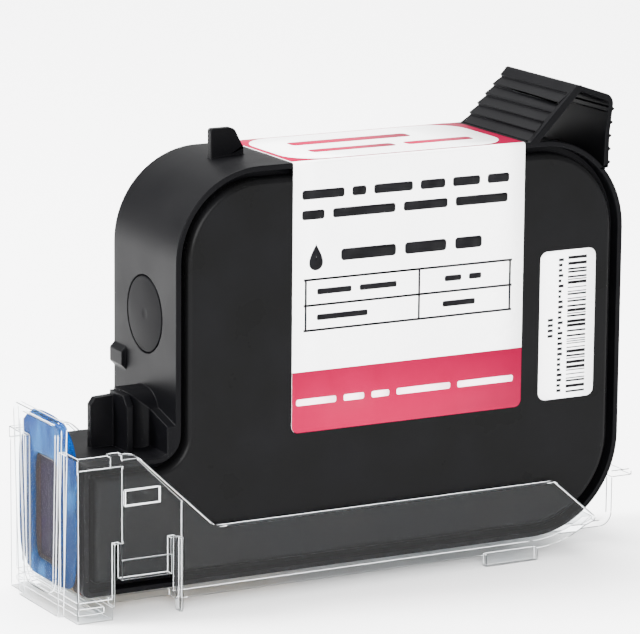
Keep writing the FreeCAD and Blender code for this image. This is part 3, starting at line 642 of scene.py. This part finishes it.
@dataclass
class LabelPath:
    """A sheet's way up the front, round the top edge and over the top wall.

    Distance s is measured from the label's lower edge: straight up the front, a quarter
    turn, then straight back.
    """

    base: float = 20.1
    face: float = 10.1
    top: float = 59.1
    bend: float = 0.45

    @property
    def front(self) -> float:
        """Length of the straight run up the front."""
        return self.top - self.bend - self.base

    @property
    def turn(self) -> float:
        """Length of the quarter turn."""
        return self.bend * math.pi / 2

    def place(self, x: np.ndarray, s: np.ndarray, lift: float = 0.0) -> np.ndarray:
        """Points at x along the cartridge and s along the path, lifted off the sheet.

        On the front they are (x, -face - lift, base + s); in the turn they go round the
        bend's middle by the angle (s - front) / bend; on the top (x, y, top + lift).

        Args:
            x: Places along the cartridge.
            s: Distances along the path, of the same shape.
            lift: Height above the sheet.

        Returns:
            Points with a last axis of three.
        """
        angle = np.clip((s - self.front) / self.bend, 0.0, math.pi / 2)
        y = -self.face + self.bend - (self.bend + lift) * np.cos(angle)
        z = self.top - self.bend + (self.bend + lift) * np.sin(angle)
        y = y + np.maximum(s - self.front - self.turn, 0.0)
        z = z + np.minimum(s - self.front, 0.0)
        return np.stack([x, y, z], axis=-1)

    def patch(
        self, x: tuple[float, float], s: tuple[float, float], lift: float,
        near: float = 0.0, far: float = 0.0, columns: int = 3,
    ) -> Shell:
        """A rectangle on the path, its corners rounded.

        A row at distance d from an end of radius r is narrower on both sides by
        r - sqrt(r * r - (r - d) * (r - d)), which is the round corner.

        Args:
            x: Its two sides.
            s: Its two ends along the path.
            lift: Height above the sheet.
            near: Corner radius at the first end.
            far: Corner radius at the second end.
            columns: Points across.

        Returns:
            The patch.
        """
        ease = 1 - np.cos(np.linspace(0, math.pi / 2, ROUND_STEPS))
        bend = self.front + self.turn * np.linspace(0, 1, ROUND_STEPS)
        rows = np.concatenate([s[0] + ease * near, bend, s[1] - ease * far])
        rows = np.unique(np.clip(rows, s[0], s[1]))
        inset = np.zeros_like(rows)
        for radius, gap in ((near, rows - s[0]), (far, s[1] - rows)):
            short = np.clip(radius - gap, 0.0, None)
            inset = np.maximum(inset, radius - np.sqrt(np.maximum(radius ** 2 - short ** 2, 0.0)))
        half = (x[1] - x[0]) / 2 - inset
        across = np.linspace(-1, 1, columns)
        grid_x = (x[0] + x[1]) / 2 + half[:, None] * across[None, :]
        grid_s = np.broadcast_to(rows[:, None], grid_x.shape)
        return Shell.grid(self.place(grid_x, grid_s, lift))


@dataclass(frozen=True)
class PrintLine:
    """A line of writing, drawn as bars as long as words.

    It runs from `start` to `end` along the cartridge with its middle `height` up the
    label's path, in bars of one thickness and these relative lengths.
    """

    start: float
    end: float
    height: float
    thickness: float
    lengths: tuple[float, ...]


@dataclass
class Labels:
    """The wrap-round label, the small upright one and everything printed on them.

    The print is generic: word-long bars for writing, a drop, an empty table and an
    arbitrary run of bars.
    """

    left: float = 18.2
    right: float = 56.0
    back: float = 9.5
    print_lift: float = 0.012
    sheet: float = 0.1
    ink: float = 0.008
    small_left: float = 59.0
    small_right: float = 68.4
    small_low: float = 20.55
    small_high: float = 42.7
    word_gap: float = 0.55
    word_round: float = 0.3
    foot_line: PrintLine = PrintLine(18.9, 54.6, 4.4, 0.95, (2.9, 1.5, 1.3, 4.0, 4.2))
    front_lines: tuple[PrintLine, ...] = (
        PrintLine(19.6, 53.4, 34.2, 1.35, (3.0, 1.0, 2.8, 1.8, 2.0, 1.6)),
        PrintLine(19.6, 53.2, 31.3, 1.35, (1.5, 4.2, 3.0, 3.6)),
        PrintLine(25.9, 49.0, 25.2, 1.7, (3.4, 2.6, 1.7)),
        PrintLine(22.1, 35.0, 20.2, 0.85, (2.3, 2.5)),
        PrintLine(22.1, 30.3, 16.5, 0.85, (1.0,)),
        PrintLine(42.9, 49.0, 20.2, 0.85, (1.2, 0.9)),
        PrintLine(42.6, 48.0, 16.5, 0.85, (1.0,)),
    )

    def words(self, path: LabelPath, line: PrintLine, lift: float) -> list[Shell]:
        """Bars as long as words along a line, scaled to fill it.

        Args:
            path: The label's path.
            line: The line of writing.
            lift: Height above the sheet.

        Returns:
            One patch per word.
        """
        total = sum(line.lengths) + self.word_gap * (len(line.lengths) - 1)
        unit = (line.end - line.start) / total
        radius = line.thickness * self.word_round
        ends = (line.height - line.thickness / 2, line.height + line.thickness / 2)
        patches = []
        start = line.start
        for length in line.lengths:
            end = start + length * unit
            patches.append(path.patch((start, end), ends, lift, radius, radius))
            start = end + self.word_gap * unit
        return patches

    def drop(self, path: LabelPath, x: float, s: float, size: float) -> Shell:
        """An ink drop, pointed at the top.

        At angle a its outline is sin(a) * sin(a / 2) ** 1.4 wide and cos(a) high, filled
        from the middle out.

        Args:
            path: The label's path.
            x: Its middle along the cartridge.
            s: Its middle along the path.
            size: Half its height.

        Returns:
            The drop.
        """
        angle = np.linspace(0, math.tau, 48, endpoint=False)
        out = np.linspace(0.02, 1, 4)
        wide = np.sin(angle) * np.abs(np.sin(angle / 2)) ** 1.4 * 0.82
        grid_x = x + size * out[:, None] * wide[None, :]
        grid_s = s + size * out[:, None] * np.cos(angle)[None, :]
        points = path.place(grid_x, grid_s, self.print_lift)
        return Shell(points.reshape(-1, 3), quads(4, 48, wrap_columns=True)[:, ::-1])

    def table(self, path: LabelPath) -> list[Shell]:
        """The rules of a table of two rows and two columns."""
        left, middle, right = 20.3, 38.7, 53.8
        heights = (34.8, 38.4, 42.1)
        rule = 0.34
        low, high = heights[0] - path.base, heights[-1] - path.base
        lift = self.print_lift
        lines = [
            path.patch(
                (left - rule, right + rule), (z - path.base - rule / 2, z - path.base + rule / 2), lift
            )
            for z in heights
        ]
        lines += [path.patch((x - rule / 2, x + rule / 2), (low, high), lift) for x in (left, middle, right)]
        return lines

    def front_print(self, maker: Maker, path: LabelPath) -> None:
        """Print the front: pink foot, writing, drop and table."""
        lift = self.print_lift
        palette = maker.palette
        band = path.patch((self.left, self.right), (0.0, 8.8), lift, near=1.0)
        maker.surface("label_foot_band", band, palette.pink, Body.CARTRIDGE, sheet=self.ink)
        white = Shell.joined(self.words(path, self.foot_line, lift * 2))
        maker.surface(
            "label_foot_writing", white, palette.white_ink, Body.CARTRIDGE, sheet=self.ink
        )
        black = [bar for line in self.front_lines for bar in self.words(path, line, lift)]
        black += self.table(path)
        black.append(self.drop(path, 21.9, 25.2, 1.9))
        maker.surface(
            "label_front_print", Shell.joined(black), palette.black_ink, Body.CARTRIDGE,
            sheet=self.ink,
        )

    def top_print(self, maker: Maker, path: LabelPath) -> None:
        """Print the top: a pink field with a white, round-cornered panel and two lines."""
        lift = self.print_lift
        palette = maker.palette
        start = path.front + path.turn + 0.1
        end = path.front + path.turn + self.back + path.face - path.bend
        field = path.patch((self.left, self.right), (start, end), lift, far=2.5)
        maker.surface("label_top_field", field, palette.pink, Body.CARTRIDGE, sheet=self.ink)
        panel = path.patch(
            (self.left + 0.9, self.right - 1.6), (start + 0.5, end - 0.4), lift * 2,
            near=5.2, far=5.2, columns=5,
        )
        maker.surface("label_top_panel", panel, palette.label, Body.CARTRIDGE, sheet=self.ink)
        lines = self.words(path, PrintLine(24.5, 44.0, start + 12.6, 2.6, (1.0,)), lift * 3)
        lines += self.words(path, PrintLine(24.5, 51.0, start + 6.4, 2.2, (4.0, 3.2)), lift * 3)
        maker.surface(
            "label_top_writing", Shell.joined(lines), palette.pink, Body.CARTRIDGE, sheet=self.ink
        )

    def small_label(self, maker: Maker) -> None:
        """The upright label with a run of bars and a column of marks."""
        path = LabelPath(base=self.small_low)
        palette = maker.palette
        tall = self.small_high - self.small_low
        skin = path.patch((self.small_left, self.small_right), (0.0, tall), 0.0, near=1.2, far=1.2)
        maker.surface(
            "small_label_film", skin, palette.label, Body.CARTRIDGE, ("barcode_label",),
            sheet=self.sheet,
        )
        draw = np.random.default_rng(41)
        widths = draw.choice([0.2, 0.2, 0.36, 0.55], size=70)
        edges = np.concatenate([[0.0], np.cumsum(widths)])
        edges = 0.8 + edges * (tall - 1.6) / edges[-1]
        bars = [
            path.patch((63.7, 66.9), (edges[i], edges[i + 1]), self.print_lift, columns=2)
            for i in range(0, len(widths), 2)
        ]
        marks = np.linspace(1.0, tall - 1.6, 26)
        bars += [
            path.patch((62.1, 62.1 + wide), (low, low + 0.42), self.print_lift, columns=2)
            for low, wide in zip(marks, draw.uniform(0.45, 0.95, size=len(marks)))
        ]
        middle = tall * 0.42
        bars += [
            path.patch((60.4, 61.3), (middle + step, middle + step + 0.42), self.print_lift, columns=2)
            for step in (0.0, 0.8, 1.6, 2.4)
        ]
        maker.surface(
            "small_label_print", Shell.joined(bars), palette.black_ink, Body.CARTRIDGE,
            sheet=self.ink,
        )

    def build(self, maker: Maker) -> None:
        """Make both labels."""
        path = LabelPath()
        end = path.front + path.turn + self.back + path.face - path.bend
        skin = path.patch((self.left, self.right), (0.0, end), 0.0, near=1.0, far=2.5, columns=9)
        maker.surface(
            "wrap_label_film", skin, maker.palette.label, Body.CARTRIDGE, ("main_label",),
            sheet=self.sheet,
        )
        self.front_print(maker, path)
        self.top_print(maker, path)
        self.small_label(maker)


# ---------------------------------------------------------------- small turned and printed parts


@dataclass
class FillPort:
    """The disc pressed into the left wall, with an eased rim and a gate dimple."""

    radius: float = 5.5
    height: float = 37.3
    rim: float = 0.28
    depth: float = 1.0
    dimple: float = 0.03

    def build(self, maker: Maker) -> None:
        """Turn the disc: a profile of (radius, x) carried round the port's axis."""
        rim = np.linspace(0, math.pi / 2, 6)
        radii = np.concatenate([
            [0.01, 0.5, 0.75, 1.0], self.radius - self.rim + self.rim * np.sin(rim), [self.radius, 0.01],
        ])
        depths = np.concatenate([
            [self.dimple, self.dimple, 0.0, 0.0], self.rim - self.rim * np.cos(rim), [self.depth, self.depth],
        ])
        angle = np.linspace(0, math.tau, 96, endpoint=False)
        x = np.broadcast_to(depths[:, None], (len(depths), len(angle)))
        y = radii[:, None] * np.cos(angle)[None, :]
        z = self.height + radii[:, None] * np.sin(angle)[None, :]
        shell = Shell.grid(np.stack([x, y, z], axis=-1), wrap_columns=True)
        maker.surface(
            "fill_port_disc", shell, maker.palette.plug, Body.CARTRIDGE, ("fill_port_plug",)
        )


@dataclass
class PrintHead:
    """What shows of the head: two rows of nozzles and the copper lines that feed them."""

    rows: tuple[float, float] = (-1.05, 1.05)
    count: int = 60
    half_row: float = 6.0
    nozzle: float = 0.07
    coarse: float = 1.6
    traces: int = 22
    trace_pitch: float = 0.62
    trace_width: float = 0.26

    def nozzles(self, maker: Maker) -> None:
        """Set out the nozzles as small eight-sided cups, drawn coarser than they are.

        Each is a ring of eight points about its middle and a deeper, smaller ring.
        """
        angle = np.linspace(0, math.tau, 8, endpoint=False)
        heights = NOZZLE_MIDDLE + np.linspace(-self.half_row, self.half_row, self.count)
        middles = np.stack(np.meshgrid(self.rows, heights, indexing="ij"), axis=-1).reshape(-1, 2)
        radii = np.array([1.0, 0.62, 0.02]) * self.nozzle * self.coarse
        lifts = np.array([0.0, 0.03, 0.012])
        y = middles[:, None, None, 0] + radii[None, :, None] * np.cos(angle)[None, None, :]
        z = middles[:, None, None, 1] + radii[None, :, None] * np.sin(angle)[None, None, :]
        x = np.broadcast_to(NOSE_X - 0.1 - lifts[None, :, None], y.shape)
        points = np.stack([x, y, z], axis=-1).reshape(-1, 3)
        one = quads(3, 8, wrap_columns=True)
        starts = np.arange(len(middles)) * 24
        faces = (one[None, :, :] + starts[:, None, None]).reshape(-1, 4)
        maker.surface(
            "nozzle_rows", Shell(points, faces), maker.palette.bead, Body.CARTRIDGE, smooth=False
        )

    def lines(self, maker: Maker) -> None:
        """Lay the copper lines: flat ribbons under the snout, round its corner and up the nose.

        The path is straight towards the nose, a quarter turn about the corner's middle,
        then straight up; a ribbon keeps its place across the film all the way.
        """
        film = 0.125
        radius = 1.0
        corner = radius + film
        run = np.linspace(2.4, NOSE_X + radius, 14)
        turn = np.linspace(0, math.pi / 2, 9)[1:]
        x = np.concatenate([run, NOSE_X + radius - corner * np.sin(turn), [NOSE_X - film]])
        z = np.concatenate([np.full_like(run, -film), radius - corner * np.cos(turn), [2.7]])
        sides = np.array([-0.5, 0.5]) * self.trace_width
        shells = []
        for number in range(self.traces):
            middle = (number - (self.traces - 1) / 2) * self.trace_pitch
            y = np.broadcast_to(middle + sides[None, :], (len(x), 2))
            grid_x = np.broadcast_to(x[:, None], y.shape)
            grid_z = np.broadcast_to(z[:, None], y.shape)
            shells.append(Shell.grid(np.stack([grid_x, y, grid_z], axis=-1)))
        joined = Shell.joined(shells)
        joined.faces = joined.faces[:, ::-1]
        maker.surface(
            "flex_copper_lines", joined, maker.palette.gold, Body.CARTRIDGE, smooth=False
        )

    def build(self, maker: Maker) -> None:
        """Make the nozzles and the lines."""
        self.nozzles(maker)
        self.lines(maker)


# ---------------------------------------------------------------- seal


@dataclass
class Seal:
    """The cast silicone gasket: an arched ring round the nozzles, crowned on its face.

    Going round by an angle a, the inner edge is a squarish oval about the nozzles and the
    outer edge an arch, rounder at the top. Across the ring the section is a flattened
    oval, thicker where the clip's end wall is cut away.
    """

    inner: tuple[float, float] = (4.3, 7.7)
    outer: tuple[float, float] = (9.4, 12.05)
    inner_middle: float = 10.6
    outer_middle: float = 12.5
    back: float = -14.76
    front: float = -15.13
    crown: float = 0.5
    window_half: float = 5.5
    window_top: float = 20.5
    flatness: float = 0.6

    def oval(
        self, half: tuple[float, float], middle: float, angle: np.ndarray, power: np.ndarray
    ) -> np.ndarray:
        """Points of a squarish oval in the nose's plane.

        y is the half width times the cosine, and z the half height times the sine, each
        with its size raised to 2 / power.

        Args:
            half: Half width and half height.
            middle: Height of its middle.
            angle: Angles round it.
            power: Squareness at each angle; 2 is an ellipse.

        Returns:
            Points (y, z).
        """
        across = np.sign(np.cos(angle)) * np.abs(np.cos(angle)) ** (2 / power)
        up = np.sign(np.sin(angle)) * np.abs(np.sin(angle)) ** (2 / power)
        return np.stack([half[0] * across, middle + half[1] * up], axis=-1)

    def shell(self) -> Shell:
        """The ring's surface on a grid of round (192) by section (28)."""
        angle = np.linspace(0, math.tau, 192, endpoint=False)
        inner = self.oval(self.inner, self.inner_middle, angle, np.full_like(angle, 7.0))
        outer = self.oval(self.outer, self.outer_middle, angle, 4.4 - 1.6 * np.sin(angle))
        section = np.linspace(0, math.tau, 28, endpoint=False)
        share = 0.5 - 0.5 * np.sign(np.cos(section)) * np.abs(np.cos(section)) ** self.flatness
        bulge = np.sign(np.sin(section)) * np.abs(np.sin(section)) ** self.flatness
        share = share[None, :, None]
        flat = inner[:, None, :] * (1 - share) + outer[:, None, :] * share
        y, z = flat[..., 0], flat[..., 1]
        aside = np.clip((self.window_half - np.abs(y)) / 0.9, 0, 1)
        above = np.clip((z - self.window_top) / 1.2, 0, 1)
        room = np.maximum(aside, above)
        room = room * room * (3 - 2 * room)
        thin = (self.back - self.front) / 2
        x = (self.back + self.front) / 2 - bulge[None, :] * thin
        x = x - self.crown * room * np.clip(bulge, 0, 1)[None, :]
        return Shell.grid(np.stack([x, y, z], axis=-1), wrap_rows=True, wrap_columns=True)

    def build(self, maker: Maker) -> None:
        """Make the gasket."""
        piece = maker.surface(
            "seal_gasket", self.shell(), maker.palette.seal, Body.CLIP, ("seal_pad",)
        )


# ---------------------------------------------------------------- moulded parts


@dataclass
class Mouldings:
    """The black frame with eased edges, and the painted highlights on the clear clip."""

    frame_ease: float = 0.14
    mark_places: tuple[float, ...] = (6.0, 22.0, 38.0, 52.0)
    mark_radius: float = 1.1
    mark_width: float = 0.22
    mark_height: float = 0.05
    clip_underside: float = -1.4
    line: float = 0.075
    sharp: float = 40.0
    shortest: float = 0.2

    def ejector_marks(self, maker: Maker) -> None:
        """Shallow rings that the ejector pins leave on the clip's floor, painted near-white as highlights.

        A raised lip: its height over the radius is one hump of a sine.
        """
        angle = np.linspace(0, math.tau, 40, endpoint=False)
        across = np.linspace(0, 1, 7)
        radii = self.mark_radius + self.mark_width * across
        lift = self.mark_height * np.sin(math.pi * across)
        shells = []
        for middle in self.mark_places:
            x = middle + radii[:, None] * np.cos(angle)[None, :]
            y = radii[:, None] * np.sin(angle)[None, :]
            z = np.broadcast_to((self.clip_underside - lift)[:, None], x.shape)
            shells.append(Shell.grid(np.stack([x, y, z], axis=-1), wrap_columns=True))
        # The relief is real; its near-white colour is a painted highlight where the lip catches light.
        maker.surface("clip_ejector_marks", Shell.joined(shells), maker.palette.edge, Body.CLIP)

    def sharp_edges(self, node: str) -> tuple[np.ndarray, np.ndarray]:
        """Find the sharp edges of a CAD node.

        Args:
            node: The CAD node.

        Returns:
            The two ends of each edge and the mean normal of its two faces, in metres.
        """
        work = bmesh.new()
        work.from_mesh(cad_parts[node].data)
        bmesh.ops.remove_doubles(work, verts=work.verts, dist=MERGE)
        bmesh.ops.dissolve_limit(work, angle_limit=math.radians(0.6), verts=work.verts, edges=work.edges)
        limit = math.radians(self.sharp)
        found = [
            edge for edge in work.edges
            if len(edge.link_faces) == 2 and edge.calc_face_angle(0.0) > limit
            and edge.calc_length() > self.shortest * MM
        ]
        ends = np.array([[vertex.co[:] for vertex in edge.verts] for edge in found])
        normals = np.array([(edge.link_faces[0].normal + edge.link_faces[1].normal)[:] for edge in found])
        work.free()
        return ends, normals / np.linalg.norm(normals, axis=1, keepdims=True)

    def edge_highlight_lines(self, maker: Maker) -> None:
        """Painted highlights: bright lines along the clip's edges, where its small radii catch the light.

        Each is a bar of square section along an edge, sunk by half its size towards the
        material and narrowed to a quarter at both ends.
        """
        ends, normals = self.sharp_edges("protective_clip")
        along = ends[:, 1] - ends[:, 0]
        along /= np.linalg.norm(along, axis=1, keepdims=True)
        side = np.cross(along, normals)
        radius = self.line * MM
        share = np.array([0.0, 0.02, 0.98, 1.0])
        narrow = np.array([0.25, 1.0, 1.0, 0.25]) * radius
        middle = ends[:, None, 0] * (1 - share)[None, :, None] + ends[:, None, 1] * share[None, :, None]
        middle = middle - normals[:, None, :] * radius
        turns = np.arange(4) * math.pi / 2
        across, up = (wave(turns)[None, :, None] for wave in (np.cos, np.sin))
        out = side[:, None, :] * across + normals[:, None, :] * up
        rings = middle[:, :, None, :] + out[:, None, :, :] * narrow[None, :, None, None]
        points = rings.reshape(-1, 3) / MM - SHIFT
        one = np.concatenate([quads(4, 4, wrap_columns=True), [[3, 2, 1, 0], [12, 13, 14, 15]]])
        starts = np.arange(len(ends)) * 16
        faces = (one[None, :, :] + starts[:, None, None]).reshape(-1, 4)
        # Near-white bars: painted highlights along the clip's sharp edges.
        maker.surface(
            "clip_edge_highlight_lines", Shell(points, faces), maker.palette.edge, Body.CLIP, smooth=False
        )

    def build(self, maker: Maker) -> None:
        """Make the eased frame, the clip's marks and its painted edge highlights."""
        maker.eased_copy(
            "outer_frame", "frame_moulding", maker.palette.frame, self.frame_ease, Body.CARTRIDGE
        )
        self.ejector_marks(maker)
        self.edge_highlight_lines(maker)


# ---------------------------------------------------------------- studio


def dress(target: bpy.types.Object, material: bpy.types.Material) -> None:
    """Give an object one material in place of what it has."""
    target.data.materials.clear()
    target.data.materials.append(material)


@dataclass
class Studio:
    """Floor, lights and camera."""

    eye: tuple[float, float, float] = (-278.356, -505.833, 162.304)
    azimuth: float = -28.563
    elevation: float = 12.244
    roll: float = 0.5
    lens: float = 230.1
    floor_reach: float = 3.0
    sky: float = 1.5

    def camera(self) -> None:
        """Set the camera by its eye point and the direction that it looks along."""
        turn, lift, lean = (math.radians(a) for a in (self.azimuth, self.elevation, self.roll))
        back = Vector((math.sin(turn) * math.cos(lift), -math.cos(turn) * math.cos(lift), math.sin(lift)))
        right = Vector((math.cos(turn), math.sin(turn), 0.0))
        up = back.cross(right)
        across = right * math.cos(lean) + up * math.sin(lean)
        upward = up * math.cos(lean) - right * math.sin(lean)
        data = bpy.data.cameras.new("camera")
        data.lens = self.lens
        data.sensor_width = 36.0
        data.clip_start = 0.02
        data.clip_end = 20.0
        holder = bpy.data.objects.new("camera", data)
        bpy.context.scene.collection.objects.link(holder)
        turn_matrix = Matrix((across, upward, back)).transposed().to_4x4()
        holder.matrix_world = Matrix.Translation(Vector(self.eye) * MM) @ turn_matrix
        bpy.context.scene.camera = holder

    def light(
        self, name: str, place: tuple[float, float, float], aim: tuple[float, float, float],
        size: tuple[float, float], power: float,
    ) -> None:
        """Add one soft box.

        Args:
            name: Name of the light.
            place: Where its middle is, in metres.
            aim: The point that it faces, in metres.
            size: Width and height, in metres.
            power: Watts.
        """
        data = bpy.data.lights.new(name, "AREA")
        data.shape = "RECTANGLE"
        data.size, data.size_y = size
        data.energy = power
        lamp = bpy.data.objects.new(name, data)
        bpy.context.scene.collection.objects.link(lamp)
        lamp.location = place
        lamp.rotation_euler = (Vector(aim) - Vector(place)).to_track_quat("-Z", "Y").to_euler()

    def floor(self) -> None:
        """Lay a plain pale floor."""
        mesh = bpy.data.meshes.new("floor")
        reach = self.floor_reach
        corners = [(-reach, -reach, 0.0), (reach, -reach, 0.0), (reach, reach, 0.0), (-reach, reach, 0.0)]
        mesh.from_pydata(corners, [], [(0, 1, 2, 3)])
        ground = bpy.data.objects.new("floor", mesh)
        bpy.context.scene.collection.objects.link(ground)
        # Uncoated paper: matt and nearly even.
        paper = Finish("floor_paper", "fcfcfc", "f8f8f8", roughness=0.9, clouds=400.0, shine=0.1)
        dress(ground, paper.build())

    def build(self) -> None:
        """Set up the whole studio."""
        self.camera()
        self.floor()
        world = bpy.data.worlds.new("studio")
        world.use_nodes = True
        world.node_tree.nodes["Background"].inputs["Color"].default_value = linear("ffffff")
        world.node_tree.nodes["Background"].inputs["Strength"].default_value = self.sky
        bpy.context.scene.world = world
        self.light("left_box", (-0.7, 0.3, 0.6), (0, 0, 0.04), (0.3, 0.5), 40.0)
        self.light("front_box", (-0.45, -1.1, 0.35), (0, 0, 0.03), (0.9, 0.5), 45.0)
        self.light("top_box", (0.1, 0.5, 1.6), (0, 0, 0.0), (1.4, 1.4), 130.0)


def main() -> None:
    """Build everything in order."""
    logging.basicConfig(level=logging.INFO, format="%(message)s")
    Studio().build()
    palette = Palette()
    for name, finish in palette.for_nodes().items():
        dress(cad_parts[name], finish)
    maker = Maker(palette)
    Mouldings().build(maker)
    Labels().build(maker)
    FillPort().build(maker)
    PrintHead().build(maker)
    Seal().build(maker)


if __name__ == "__main__":
    main()
